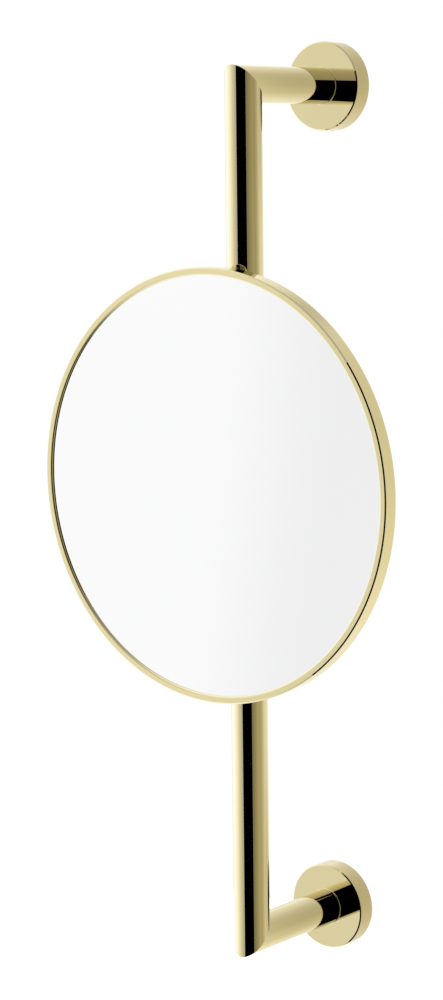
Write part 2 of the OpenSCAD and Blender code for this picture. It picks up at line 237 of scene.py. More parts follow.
def made_object(
    name: str, shape: Shape, material: bpy.types.Material | None = None
) -> bpy.types.Object:
    """Makes a shape an object of the scene.

    Args:
        name: the object's name
        shape: its mesh, which is freed
        material: what covers it

    Returns:
        The object.
    """
    mesh = bpy.data.meshes.new(name)
    shape.to_mesh(mesh)
    shape.free()
    if material is not None:
        mesh.materials.append(material)
    made = bpy.data.objects.new(name, mesh)
    bpy.context.scene.collection.objects.link(made)
    return made


def worked(body: Shape, tool: Shape, way: Carve = Carve.AWAY) -> Shape:
    """Cuts one solid out of another, or joins the two.

    Args:
        body: the solid that is worked
        tool: the solid that works it
        way: whether the tool is cut away or added

    Returns:
        The result. Both of the solids given are freed.
    """
    worked_body = made_object("worked_body", body)
    worked_tool = made_object("worked_tool", tool)
    modifier = worked_body.modifiers.new("work", "BOOLEAN")
    modifier.operation = way.value
    modifier.solver = "EXACT"
    modifier.object = worked_tool
    result = bmesh.new()
    result.from_object(worked_body, bpy.context.evaluated_depsgraph_get())
    for used in (worked_body, worked_tool):
        mesh = used.data
        bpy.data.objects.remove(used)
        bpy.data.meshes.remove(mesh)
    bmesh.ops.remove_doubles(result, verts=result.verts[:], dist=MERGE_GAP)
    return result


@dataclass(frozen=True)
class Screw:
    """A turned screw along the local Z axis, with a six-sided key socket.

    The socket goes from its mouth to its bottom, and the key is measured from corner to corner.
    """

    start: float
    lengths: tuple[Step, ...]
    key: float
    mouth: float
    bottom: float

    def build(self) -> Shape:
        """Turns the screw and cuts its socket.

        Returns:
            The screw as a closed solid.
        """
        outside = self.mouth + math.copysign(OVERCUT, self.mouth - self.bottom)
        bar = bmesh.new()
        bmesh.ops.create_cone(
            bar,
            cap_ends=True,
            segments=HEX_SIDES,
            radius1=self.key / 2,
            radius2=self.key / 2,
            depth=abs(outside - self.bottom),
            matrix=Matrix.Translation((0, 0, (outside + self.bottom) / 2)),
        )
        return worked(pin(self.start, *self.lengths), bar)


def slotted(shape: Shape, size: Triple, centre: Triple) -> Shape:
    """Cuts a straight slot.

    Args:
        shape: the solid that gets it
        size: the slot's three sides
        centre: its middle

    Returns:
        The solid with its slot.
    """
    slot = bmesh.new()
    move = Matrix.Translation(centre) @ Matrix.Diagonal((*size, 1))
    bmesh.ops.create_cube(slot, size=1, matrix=move)
    return worked(shape, slot)


def mitred_tube(radii: Pair, ends: Pair, slopes: Pair) -> Shape:
    """Makes a tube along the local Z axis with slanting ends.

    Args:
        radii: its inner and outer radius
        ends: where it starts and ends on its axis
        slopes: how far each end rises with each millimetre along the local Y axis

    Returns:
        The tube as a closed solid.
    """
    shape = ring(radii, ends, (0, 0, 0, 0))
    middle = sum(ends) / 2
    for side, slope in zip((-1, 1), slopes):
        shear = Matrix.Identity(4)
        shear[2][1] = slope
        end = [vert for vert in shape.verts if side * (vert.co.z - middle) > 0]
        bmesh.ops.transform(shape, matrix=shear, verts=end)
    return shape


# Finishes


@dataclass(frozen=True)
class Grain:
    """Noise at a piece's own place.

    The scale is in waves to a metre, and the detail is how many finer layers lie on it. The
    contrast is the band of the noise that is stretched to run from 0 to 1, and the stretch is how
    much closer the waves are along X, Y and Z.
    """

    scale: float
    detail: float = 2.0
    contrast: Pair = (0.0, 1.0)
    stretch: Triple = (1.0, 1.0, 1.0)


class NodeBench:
    """Adds nodes to a material or to the world and joins them up."""

    def __init__(self, tree: bpy.types.NodeTree) -> None:
        """Starts on an empty node tree."""
        self.tree = tree
        self.tree.nodes.clear()

    def feed(self, socket: Socket, value: object) -> None:
        """Joins a socket to another one, or sets it to a plain value.

        Args:
            socket: the socket that takes the value
            value: a socket, a number, or the three numbers of a colour or direction
        """
        if isinstance(value, bpy.types.NodeSocket):
            self.tree.links.new(value, socket)
        elif socket.type == "RGBA":
            socket.default_value = (*value, 1.0)
        else:
            socket.default_value = value

    def add(self, kind: str, *values: object, **settings: object) -> bpy.types.Node:
        """Adds a node.

        Args:
            kind: the node's type in Blender, without the words that all types start with
            values: what its first sockets take, in order
            settings: the node's own properties

        Returns:
            The new node.
        """
        node = self.tree.nodes.new(f"ShaderNode{kind}")
        for name, value in settings.items():
            setattr(node, name, value)
        for socket, value in zip(node.inputs, values):
            self.feed(socket, value)
        return node

    def named(self, kind: str, **inputs: object) -> Socket:
        """Adds a node and feeds its sockets by name.

        Args:
            kind: the node's type, as in add
            inputs: its sockets, with an underscore for each space

        Returns:
            The node's first output.
        """
        node = self.add(kind)
        for name, value in inputs.items():
            self.feed(node.inputs[name.replace("_", " ")], value)
        return node.outputs[0]

    def sum(self, operation: str, *values: object) -> Socket:
        """Works out one step of arithmetic on numbers or sockets."""
        return self.add("Math", *values, operation=operation).outputs[0]

    def ranged(self, value: Socket, start: Pair, end: Pair, curve: str = "LINEAR") -> Socket:
        """Stretches a value from one range to another along a curve and holds it there."""
        return self.add("MapRange", value, *start, *end, interpolation_type=curve).outputs[0]

    def blend(self, share: Socket, *colours: object) -> Socket:
        """Mixes two colours.

        Args:
            share: how much of the second colour there is, from 0 to 1
            colours: the two, as numbers or sockets

        Returns:
            The socket with the mixed colour.
        """
        node = self.add("Mix", share, data_type="RGBA")
        ends = [socket for socket in node.inputs if socket.type == "RGBA"]
        for socket, colour in zip(ends, colours):
            self.feed(socket, colour)
        return next(socket for socket in node.outputs if socket.type == "RGBA")

    def grain(self, grain: Grain) -> Socket:
        """Reads noise at the piece's own place.

        Args:
            grain: what the noise is like

        Returns:
            The noise, from 0 to 1.
        """
        place = self.add("TexCoord").outputs["Object"]
        mapping = self.named("Mapping", Vector=place, Scale=grain.stretch)
        noise = self.named("TexNoise", Vector=mapping, Scale=grain.scale, Detail=grain.detail)
        return self.ranged(noise, grain.contrast, (0, 1))

    def relief(self, grain: Grain, depth: float) -> Socket:
        """Makes noise a relief of the given depth in metres."""
        return self.named("Bump", Strength=1.0, Distance=depth, Height=self.grain(grain))

    def parts(self, coordinate: str) -> list[Socket]:
        """Gives the X, Y and Z of a texture coordinate."""
        return self.add("SeparateXYZ", self.add("TexCoord").outputs[coordinate]).outputs[:]

    def grey(self, level: Socket) -> Socket:
        """Makes a level a grey."""
        return self.add("CombineColor", level, level, level).outputs[0]

    def bounces(self, operation: str, count: int) -> Socket:
        """Compares the ray's depth with the middle between a whole number and the next."""
        return self.sum(operation, self.add("LightPath").outputs["Ray Depth"], count + 0.5)

    def surface(self, **inputs: object) -> None:
        """Covers the surface with the general shader, whose sockets are set by name."""
        self.add("OutputMaterial", self.named("BsdfPrincipled", **inputs))


def new_material(name: str) -> tuple[bpy.types.Material, NodeBench]:
    """Makes an empty material.

    Args:
        name: the material's name

    Returns:
        The material and the bench for its nodes.
    """
    made = bpy.data.materials.new(name)
    made.use_nodes = True
    return made, NodeBench(made.node_tree)


@dataclass(frozen=True)
class Finish:
    """A finish that a surface can have, under its slot name in model.glb."""

    slot: str

    def dress(self, bench: NodeBench) -> None:
        """Builds the finish's nodes."""
        raise NotImplementedError

    def material(self) -> bpy.types.Material:
        """Makes the finish's material the first time that it is asked for.

        Returns:
            The material.
        """
        name = f"{self.slot}_finish"
        made = bpy.data.materials.get(name)
        if made is None:
            made, bench = new_material(name)
            self.dress(bench)
        return made


@dataclass(frozen=True)
class PolishedGold(Finish):
    """Pale gold plating, buffed until it mirrors, with faint buffing haze.

    The flat front faces are lapped to a perfect polish, and their plating is a little deeper.
    """

    slot: str = "polished_gold"
    side_tones: tuple[Colour, Colour] = ((0.805, 0.715, 0.455), (0.790, 0.695, 0.430))
    front_tones: tuple[Colour, Colour] = ((0.783, 0.696, 0.405), (0.768, 0.677, 0.384))
    drift: Grain = Grain(9, 3, (0.35, 0.65))
    haze: Grain = Grain(46, 5, (0.40, 0.72))
    roughness: Pair = (0.014, 0.034)
    ripple: Grain = Grain(900)
    ripple_depth: float = 2e-7

    def dress(self, bench: NodeBench) -> None:
        """Builds the colour drift, the buffing haze and the fine ripple.

        Args:
            bench: where the nodes go
        """
        front = bench.add("Attribute", attribute_name=FRONT_FACES).outputs["Fac"]
        drift = bench.grain(self.drift)
        sides, fronts = (bench.blend(drift, *tones) for tones in (self.side_tones, self.front_tones))
        haze = bench.ranged(bench.grain(self.haze), (0, 1), self.roughness)
        bench.surface(
            Base_Color=bench.blend(front, sides, fronts),
            Metallic=1.0,
            Roughness=bench.sum("MULTIPLY", haze, bench.sum("SUBTRACT", 1.0, front)),
            Normal=bench.relief(self.ripple, self.ripple_depth),
        )


@dataclass(frozen=True)
class SilveredGlass(Finish):
    """Flat glass silvered on its back, whose perfect polish shows as a clean mirror."""

    slot: str = "silvered_glass"
    tints: tuple[Colour, Colour] = ((0.960, 0.962, 0.962), (0.950, 0.953, 0.952))
    drift: Grain = Grain(5, 2, (0.35, 0.65))

    def dress(self, bench: NodeBench) -> None:
        """Builds the faint tint of the glass."""
        tint = bench.blend(bench.grain(self.drift), *self.tints)
        bench.surface(Base_Color=tint, Metallic=1.0, Roughness=0.0)


@dataclass(frozen=True, kw_only=True)
class MottledFinish(Finish):
    """A finish of two tones in patches, with a worn roughness and a fine relief.

    The depth is in metres. The wear follows the patches, unless it has a grain of its own.
    """

    tones: tuple[Colour, Colour]
    patches: Grain
    wear: Grain | None = None
    roughness: Pair
    texture: Grain
    depth: float
    metallic: float = 0.0
    sheen: float = 0.0

    def dress(self, bench: NodeBench) -> None:
        """Builds the patches, the wear and the relief.

        Args:
            bench: where the nodes go
        """
        share = bench.grain(self.patches)
        wear = share if self.wear is None else bench.grain(self.wear)
        bench.surface(
            Base_Color=bench.blend(share, *self.tones),
            Metallic=self.metallic,
            Roughness=bench.ranged(wear, (0, 1), self.roughness),
            Sheen_Weight=self.sheen,
            Normal=bench.relief(self.texture, self.depth),
        )


GOLD = PolishedGold()
MIRROR = SilveredGlass()
# Brass as the lathe leaves it, with tool marks and a little tarnish
BRASS = MottledFinish(
    slot="raw_brass",
    tones=((0.70, 0.50, 0.22), (0.36, 0.24, 0.11)),
    patches=Grain(180, 6, (0.45, 0.75)),
    roughness=(0.28, 0.5),
    texture=Grain(4000, stretch=(0.05, 0.05, 1)),
    depth=1e-5,
    metallic=1.0,
)
# Zinc-plated steel of plates and screws, with a faint spangle
STEEL = MottledFinish(
    slot="steel",
    tones=((0.66, 0.67, 0.68), (0.44, 0.45, 0.47)),
    patches=Grain(700, 4, (0.40, 0.68)),
    roughness=(0.20, 0.36),
    texture=Grain(5200, 3),
    depth=6e-6,
    metallic=1.0,
)
# Moulded nylon with the fine texture of its mould, rubbed in places
BLACK_NYLON = MottledFinish(
    slot="black_nylon",
    tones=((0.02, 0.02, 0.022), (0.045, 0.045, 0.048)),
    patches=Grain(260, 5, (0.50, 0.78)),
    roughness=(0.52, 0.36),
    texture=Grain(3600),
    depth=1.2e-5,
)
NATURAL_NYLON = replace(
    BLACK_NYLON, slot="white_nylon", tones=((0.72, 0.70, 0.63), (0.80, 0.79, 0.74))
)
# The grey pressed felt behind the glass
FELT = MottledFinish(
    slot="felt_pad",
    tones=((0.24, 0.24, 0.25), (0.10, 0.10, 0.11)),
    patches=Grain(2600, 6, (0.35, 0.65), (1, 1, 0.35)),
    wear=Grain(500, 3, (0.3, 0.7)),
    roughness=(0.88, 1.0),
    texture=Grain(2600, 6, stretch=(1, 1, 0.35)),
    depth=1.5e-4,
    sheen=0.4,
)


# Pieces


@dataclass(kw_only=True)
class SubAssembly:
    """Pieces that are made round one point and handed over to one CAD body.

    The point is the standoff before the wall and the lift above the frame's origin.
    """

    standoff: float = 72.0
    lift: float = 19.0
    body: str = "wall_frame"

    def place(self, axis: Axis = Axis.FORWARD) -> Matrix:
        """Gives the move from a piece's own axis to its place."""
        return placed(axis, (0, -self.standoff, self.lift))

    def add(
        self,
        name: str,
        shape: Shape,
        finish: Finish,
        node: str,
        move: Matrix | None = None,
        body: str = "",
    ) -> None:
        """Makes a shape a piece of the object.

        Args:
            name: the piece's name
            shape: its solid, made on its own axis, which is freed
            finish: what it is finished with
            node: the CAD node that it stands for, alone or with others
            move: the move to its place, where the sub-assembly's own isn't meant
            body: the CAD body that it rides on, where the sub-assembly's own isn't meant
        """
        moved(shape, self.place() if move is None else move)
        shape.normal_update()
        front = shape.faces.layers.float.new(FRONT_FACES)
        for edge in shape.edges:
            edge.smooth = edge.calc_face_angle(0) < SHARP_ANGLE
        for face in shape.faces:
            face.smooth = True
            face[front] = float(face.normal.angle(Vector((0, -1, 0)), math.pi) < FRONT_ANGLE)
        bmesh.ops.scale(shape, vec=(METRES, METRES, METRES), verts=shape.verts[:])
        piece = made_object(name, shape, finish.material())
        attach(piece, body or self.body)
        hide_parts(node)
        log.info("%s: %d faces on %s", name, len(piece.data.polygons), body or self.body)


@dataclass(kw_only=True)
class RailFrame(SubAssembly):
    """The rail and its two arms, mitred together at the corners."""

    lift: float = 0.0
    tube: float = 9.0
    bore: float = 7.5
    half_spacing: float = 210.0
    arm_start: float = 10.0

    def build_rail(self) -> None:
        """Builds the upright tube with a slanting cut at both ends."""
        corner = self.half_spacing
        shape = mitred_tube((self.bore, self.tube), (-corner, corner), (1, -1))
        self.add("rail", shape, GOLD, "rail_tube", self.place(Axis.UPRIGHT))

    def build_arm(self, side: int, node: str) -> None:
        """Builds one arm, from its flange to the mitre.

        Args:
            side: 1 for the upper arm, -1 for the lower one
            node: the arm's CAD node
        """
        ends = (self.arm_start, self.standoff)
        shape = mitred_tube((self.bore, self.tube), ends, (0, side))
        move = placed(Axis.FORWARD, (0, 0, side * self.half_spacing))
        self.add(f"{node}_tube", shape, GOLD, node, move)

    def build(self) -> None:
        """Builds the rail and both arms."""
        self.build_rail()
        self.build_arm(1, "upper_arm")
        self.build_arm(-1, "lower_arm")


@dataclass(kw_only=True)
class WallMount(SubAssembly):
    """One round flange and what it hides: the wall plate, the grub screw and the arm's screw."""

    word: str
    standoff: float = 0.0
    radius: float = 22.0
    depth: float = 10.0
    wall: float = 2.0
    face: float = 2.5
    bevel_width: float = 0.65
    bevel_depth: float = 0.40
    arm_radius: float = 9.0
    foot_radius: float = 9.02
    foot_fillet: float = 0.35
    foot_lip: float = 0.03
    screw_hole: float = 3.05
    plate_radius: float = 19.7
    plate_depth: float = 5.0
    plate_hole: float = 6.5
    plate_edge: float = 0.3
    groove_radius: float = 18.7
    groove_low: float = 1.0
    groove_high: float = 4.0
    wall_hole: float = 2.25
    wall_hole_place: float = 12.0
    countersink: float = 4.3
    grub_height: float = 2.5
    grub_hole: float = 2.05
    grub: Screw = Screw(
        18.8, (Step(1.4, 20.0, 0.3), Step(2.0, 21.7, 0.15, 0.15)), key=2.2, mouth=21.7, bottom=20.5
    )
    arm_screw: Screw = Screw(
        3.9, (Step(5.0, 6.5, 0.4, 0.15), Step(3.0, 22.5, far=0.4)), key=4.6, mouth=3.9, bottom=5.46
    )
    washer_radius: float = 5.2
    washer_hole: float = 3.1
    washer_back: float = 6.5
    washer_front: float = 7.5
    washer_split: float = 0.8
    fine_edge: float = 0.15

    def below(self) -> Matrix:
        """Gives the move that points a grub screw's axis down from the flange's own."""
        return placed(Axis.FORWARD, (0, 0, self.grub_height))

    def build_flange(self) -> None:
        """Builds the flange with the fine fillet round its arm and its grub screw hole."""
        cavity = self.depth - self.face
        foot_top = self.depth + self.foot_fillet + self.foot_lip
        shape = turned(
            Corner(self.screw_hole, cavity),
            Corner(self.radius - self.wall, cavity),
            Corner(self.radius - self.wall, 0),
            Corner(self.radius, 0, self.fine_edge),
            Corner(self.radius, self.depth - self.bevel_depth),
            Corner(self.radius - self.bevel_width, self.depth),
            Corner(self.foot_radius, self.depth, self.foot_fillet),
            Corner(self.foot_radius, foot_top),
            Corner(self.arm_radius, foot_top),
            Corner(self.arm_radius, self.depth),
            Corner(self.screw_hole, self.depth),
        )
        hole = rod(self.grub_hole, self.radius - self.wall - OVERCUT, self.radius + OVERCUT)
        shape = worked(shape, moved(hole, self.below()))
        node = f"{self.word}_flange"
        self.add(f"{node}_cup", shape, GOLD, node)

    def build_plate(self) -> None:
        """Builds the wall plate with its groove and its two countersunk holes."""
        shape = turned(
            Corner(self.plate_hole, 0, self.fine_edge),
            Corner(self.plate_radius, 0, self.plate_edge),
            Corner(self.plate_radius, self.groove_low),
            Corner(self.groove_radius, self.groove_low),
            Corner(self.groove_radius, self.groove_high),
            Corner(self.plate_radius, self.groove_high),
            Corner(self.plate_radius, self.plate_depth, self.plate_edge),
            Corner(self.plate_hole, self.plate_depth, self.fine_edge),
        )
        for across in (-self.wall_hole_place, self.wall_hole_place):
            drill = turned(
                Corner(0, -OVERCUT),
                Corner(self.wall_hole, -OVERCUT),
                Corner(self.wall_hole, self.plate_depth - self.countersink + self.wall_hole),
                Corner(self.countersink, self.plate_depth),
                Corner(self.countersink, self.plate_depth + OVERCUT),
                Corner(0, self.plate_depth + OVERCUT),
                steps=SMALL_TURN,
            )
            shape = worked(shape, moved(drill, Matrix.Translation((across, 0, 0))))
        node = f"{self.word}_wall_plate"
        self.add(f"{node}_disc", shape, STEEL, node)

    def build_grub_screw(self) -> None:
        """Builds the pointed grub screw under the flange, with its key socket."""
        shape = moved(self.grub.build(), self.below())
        self.add(f"{self.word}_grub_screw", shape, STEEL, "flange_grub_screws")

    def build_arm_screw(self) -> None:
        """Builds the screw that pulls the arm onto its flange."""
        self.add(f"{self.word}_arm_screw", self.arm_screw.build(), STEEL, "arm_screws")

    def build_lock_washer(self) -> None:
        """Builds the split lock washer under the screw's head."""
        low, high = self.washer_back, self.washer_front
        edges = (self.fine_edge,) * 4
        shape = ring((self.washer_hole, self.washer_radius), (low, high), edges, SMALL_TURN)
        reach = self.washer_radius + OVERCUT
        size = (reach, self.washer_split, high - low + 2 * OVERCUT)
        shape = slotted(shape, size, (reach / 2, 0, (low + high) / 2))
        self.add(f"{self.word}_lock_washer", shape, STEEL, "arm_lock_washers")

    def build(self) -> None:
        """Builds the flange, the plate and the screws."""
        self.build_flange()
        self.build_plate()
        self.build_grub_screw()
        self.build_arm_screw()
        self.build_lock_washer()


@dataclass(kw_only=True)
class Slider(SubAssembly):
    """The collar that slides and swings on the rail, with its two bushes and tension screw."""

    height: float = 32.0
    bore: float = 10.85
    radius: float = 14.0
    edge: float = 1.0
    front_boss: float = 7.0
    front_reach: float = 14.9
    rear_boss: float = 6.0
    rear_reach: float = 15.7
    boss_edge: float = 0.4
    stud_recess: float = 4.8
    stud_seat: float = 11.4
    screw_hole: float = 3.05
    bush_bore: float = 9.05
    bush_radius: float = 10.8
    bush_start: float = 6.0
    lip_radius: float = 13.0
    lip_start: float = 16.1
    lip_end: float = 17.7
    small_edge: float = 0.3
    bush_slot: float = 2.0
    tension: Screw = Screw(
        11.45, (Step(3.0, 15.25, 0.3, 0.3),), key=3.4, mouth=15.25, bottom=13.25
    )
    body: str = "collar"
    bush_body: str = "glide"

    def build_collar(self) -> None:
        """Builds the collar with its two bosses and their holes."""
        half = self.height / 2
        edges = (self.small_edge, self.edge, self.edge, self.small_edge)
        shape = ring((self.bore, self.radius), (-half, half), edges)
        ahead = placed(Axis.FORWARD)
        behind = placed(Axis.BACKWARD)
        root = (self.bore + self.radius) / 2
        bosses = (
            (self.front_boss, self.front_reach, ahead),
            (self.rear_boss, self.rear_reach, behind),
        )
        for radius, reach, move in bosses:
            boss = moved(rod(radius, root, reach, self.boss_edge, FINE_TURN), move)
            shape = worked(shape, boss, Carve.ADD)
        inside = rod(self.bore, -half - OVERCUT, half + OVERCUT, steps=FINE_TURN)
        shape = worked(shape, inside)
        holes = (
            (self.stud_recess, self.stud_seat, ahead),
            (self.screw_hole, self.front_reach + OVERCUT, ahead),
            (self.screw_hole, self.rear_reach + OVERCUT, behind),
        )
        for radius, end, move in holes:
            shape = worked(shape, moved(rod(radius, 0, end), move))
        self.add("collar_body", shape, GOLD, "slider_collar", self.place(Axis.UPRIGHT))

    def build_bush(self, axis: Axis, node: str) -> None:
        """Builds one split nylon bush with its lip.

        Args:
            axis: UPRIGHT for the upper bush, DOWNWARD for the lower one
            node: the bush's CAD node
        """
        shape = turned(
            Corner(self.bush_bore, self.bush_start, self.small_edge / 2),
            Corner(self.bush_radius, self.bush_start, self.small_edge),
            Corner(self.bush_radius, self.lip_start),
            Corner(self.lip_radius, self.lip_start, self.small_edge / 2),
            Corner(self.lip_radius, self.lip_end, self.small_edge),
            Corner(self.bush_bore, self.lip_end, self.small_edge),
        )
        reach = self.lip_radius + OVERCUT
        size = (reach, self.bush_slot, self.lip_end - self.bush_start + 2 * OVERCUT)
        shape = slotted(shape, size, (reach / 2, 0, (self.bush_start + self.lip_end) / 2))
        self.add(f"{node}_sleeve", shape, BLACK_NYLON, node, self.place(axis), self.bush_body)

    def build_tension_screw(self) -> None:
        """Builds the screw behind the collar, with its key socket."""
        shape = self.tension.build()
        self.add("tension_grub", shape, STEEL, "tension_screw", self.place(Axis.BACKWARD))

    def build(self) -> None:
        """Builds the collar, its bushes and its screw."""
        self.build_collar()
        self.build_bush(Axis.UPRIGHT, "upper_glide_bush")
        self.build_bush(Axis.DOWNWARD, "lower_glide_bush")
        self.build_tension_screw()


@dataclass(kw_only=True)
class BallJoint(SubAssembly):
    """The stud that turns in the collar, its ball and the ring nut that keeps the ball in."""

    stud_back: float = 10.0
    stud: tuple[Step, ...] = (
        Step(4.6, 11.0, 0.2, 0.2),
        Step(3.0, 15.1, far=0.2),
        Step(2.45, 21.0, far=0.2),
    )
    ball_radius: float = 5.0
    ball_centre: float = 19.5
    ball_bore: float = 2.5
    bore_end: float = 21.05
    nut_radius: float = 7.5
    nut_hole: float = 4.5
    nut_back: float = 16.2
    nut_front: float = 17.0
    nut_slot: float = 1.6
    nut_slot_depth: float = 0.4
    nut_edge: float = 0.12
    body: str = "ball_stud"
    nut_body: str = "mirror_head"

    def build_stud(self) -> None:
        """Builds the stud with its head, shank and neck."""
        self.add("turning_stud", pin(self.stud_back, *self.stud), STEEL, "swivel_stud")

    def build_ball(self) -> None:
        """Builds the ball with its blind bore for the stud."""
        shape = bmesh.new()
        bmesh.ops.create_uvsphere(
            shape,
            u_segments=SMALL_TURN,
            v_segments=SMALL_TURN // 2,
            radius=self.ball_radius,
            matrix=Matrix.Translation((0, 0, self.ball_centre)),
        )
        shape = worked(shape, rod(self.ball_bore, 0, self.bore_end))
        self.add("ball", shape, STEEL, "stud_ball")

    def build_ring_nut(self) -> None:
        """Builds the ring nut with its spanner slots."""
        edges = (self.nut_edge, self.nut_edge, 0, 0)
        shape = ring((self.nut_hole, self.nut_radius), (self.nut_back, self.nut_front), edges)
        size = (2 * (self.nut_radius + OVERCUT), self.nut_slot, 2 * self.nut_slot_depth)
        shape = slotted(shape, size, (0, 0, self.nut_back))
        self.add("ring_nut", shape, STEEL, "socket_ring_nut", body=self.nut_body)

    def build(self) -> None:
        """Builds the stud, the ball and the ring nut."""
        self.build_stud()
        self.build_ball()
        self.build_ring_nut()


@dataclass(kw_only=True)
class MirrorHead(SubAssembly):
    """The round mirror: rim, glass, back plate and the hub that holds the ball."""

    radius: float = 105.0
    rear: float = 23.0
    front: float = 31.0
    lip: float = 3.8
    rim_bore: float = 103.2
    groove: float = 104.0
    groove_low: float = 23.6
    groove_high: float = 24.6
    bevel_width: float = 0.65
    bevel_depth: float = 0.40
    lip_edge: float = 1.0
    small_edge: float = 0.3
    insert: float = 102.9
    plate_back: float = 24.6
    plate_front: float = 25.8
    glass_back: float = 26.8
    glass_front: float = 29.8
    glass_edge: float = 0.25
    hub_rear: float = 16.2
    hub_radius: float = 10.45
    hub_bore: float = 7.55
    hub_step: float = 19.3
    ball_centre: float = 19.5
    socket: float = 5.1
    hub_flange: float = 17.0
    hub_flange_back: float = 23.2
    nose: float = 8.95
    nose_front: float = 25.6
    nose_hole: float = 9.05
    hub_edge: float = 0.5
    screw_circle: float = 13.7
    screw_hole: float = 1.55
    screws: int = 3
    screw: Screw = Screw(
        22.0, (Step(2.6, 23.2, 0.45, 0.15), Step(1.5, 26.2, far=0.3)), key=2.4, mouth=22, bottom=22.72
    )
    spring_inner: float = 102.3
    spring_outer: float = 103.9
    spring_opening: float = 8.0
    body: str = "mirror_head"

    def screw_place(self, number: int) -> Matrix:
        """Gives the move that puts a piece made on the head's axis at one hub screw."""
        turn = Matrix.Rotation(math.radians(90) + number * math.tau / self.screws, 4, "Z")
        return turn @ Matrix.Translation((self.screw_circle, 0, 0))

    def drilled(self, shape: Shape, low: float, high: float) -> Shape:
        """Drills the hub screws' holes.

        Args:
            shape: the solid that is drilled, on the head's own axis
            low: where the holes start
            high: where they end

        Returns:
            The drilled solid.
        """
        for number in range(self.screws):
            hole = rod(self.screw_hole, low - OVERCUT, high + OVERCUT)
            shape = worked(shape, moved(hole, self.screw_place(number)))
        return shape

    def build_rim(self) -> None:
        """Builds the rim with its front lip and the groove for the spring ring."""
        shape = turned(
            Corner(self.radius, self.rear, self.small_edge),
            Corner(self.radius, self.front - self.bevel_depth),
            Corner(self.radius - self.bevel_width, self.front),
            Corner(self.radius - self.lip, self.front, self.lip_edge),
            Corner(self.radius - self.lip, self.glass_front),
            Corner(self.rim_bore, self.glass_front),
            Corner(self.rim_bore, self.groove_high),
            Corner(self.groove, self.groove_high),
            Corner(self.groove, self.groove_low),
            Corner(self.rim_bore, self.groove_low),
            Corner(self.rim_bore, self.rear, self.small_edge / 2),
            steps=RIM_TURN,
        )
        self.add("rim", shape, GOLD, "rim_ring")

    def build_glass(self) -> None:
        """Builds the glass with its ground edges."""
        shape = rod(self.insert, self.glass_back, self.glass_front, self.glass_edge, RIM_TURN)
        self.add("glass", shape, MIRROR, "mirror_glass")

    def build_back_plate(self) -> None:
        """Builds the round plate that closes the back of the rim."""
        ends = (self.plate_back, self.plate_front)
        edges = (self.small_edge / 2, self.small_edge, 0, 0)
        shape = self.drilled(ring((self.nose_hole, self.insert), ends, edges, RIM_TURN), *ends)
        self.add("rear_plate", shape, GOLD, "back_plate")

    def build_hub(self) -> None:
        """Builds the hub with its socket for the ball and its screw flange."""
        shape = turned(
            Corner(0, self.nose_front),
            Corner(self.nose, self.nose_front, self.small_edge / 2),
            Corner(self.nose, self.plate_back),
            Corner(self.hub_flange, self.plate_back),
            Corner(self.hub_flange, self.hub_flange_back, self.hub_edge),
            Corner(self.hub_radius, self.hub_flange_back),
            Corner(self.hub_radius, self.hub_rear, self.hub_edge),
            Corner(self.hub_bore, self.hub_rear, self.small_edge / 2),
            Corner(self.hub_bore, self.hub_step),
            Corner(self.socket, self.hub_step),
            Corner(self.socket, self.ball_centre + self.socket, self.socket - HOLD),
            Corner(0, self.ball_centre + self.socket),
        )
        shape = self.drilled(shape, self.hub_flange_back, self.plate_back)
        self.add("hub", shape, GOLD, "socket_hub")

    def build_hub_screws(self) -> None:
        """Builds the domed screws that hold the hub on the back plate."""
        for number in range(self.screws):
            shape = moved(self.screw.build(), self.screw_place(number))
            self.add(f"hub_screw_{number + 1}", shape, STEEL, "hub_screws")

    def build_spring_ring(self) -> None:
        """Builds the open spring ring that keeps the back plate in the rim."""
        low, high = self.groove_low, self.groove_high
        edges = (self.small_edge,) * 4
        shape = ring((self.spring_inner, self.spring_outer), (low, high), edges, RIM_TURN)
        size = (self.spring_opening, self.radius, high - low + 2 * OVERCUT)
        shape = slotted(shape, size, (0, -self.radius / 2, (low + high) / 2))
        self.add("open_spring_ring", shape, STEEL, "spring_ring")

    def build(self) -> None:
        """Builds all of the head's pieces."""
        self.build_rim()
        self.build_glass()
        self.build_back_plate()
        self.build_hub()
        self.build_hub_screws()
        self.build_spring_ring()


def dress_kept_nodes() -> None:
    """Puts a better finish on the fittings that keep their CAD shape."""
    known = (GOLD, MIRROR, BRASS, STEEL, BLACK_NYLON, NATURAL_NYLON, FELT)
    finishes = {finish.slot: finish for finish in known}
    for name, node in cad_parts.items():
        if node.hide_render:
            continue
        for slot in node.material_slots:
            slot_name = slot.material.name
            slot.material = finishes[slot_name].material()
        log.info("%s keeps its CAD shape", name)


# Studio


@dataclass(frozen=True)
class RingStop:
    """How bright the studio is in one direction round the object.

    The azimuth is in degrees. The falloff is the share of light lost with each radian upwards.
    """

    azimuth: float
    colour: Colour
    falloff: float = 0.0


@dataclass(frozen=True)
class Shade:
    """One soft oval of painted shade on the wall, in metres, with the share of its reach that is dark.
    """

    across: float
    up: float
    reach_across: float
    reach_up: float
    core: float = 0.0


@dataclass(frozen=True)
class Lamp:
    """A soft lamp that is aimed at the object, with its place and size in metres."""

    name: str
    place: Triple
    watts: float
    size: float


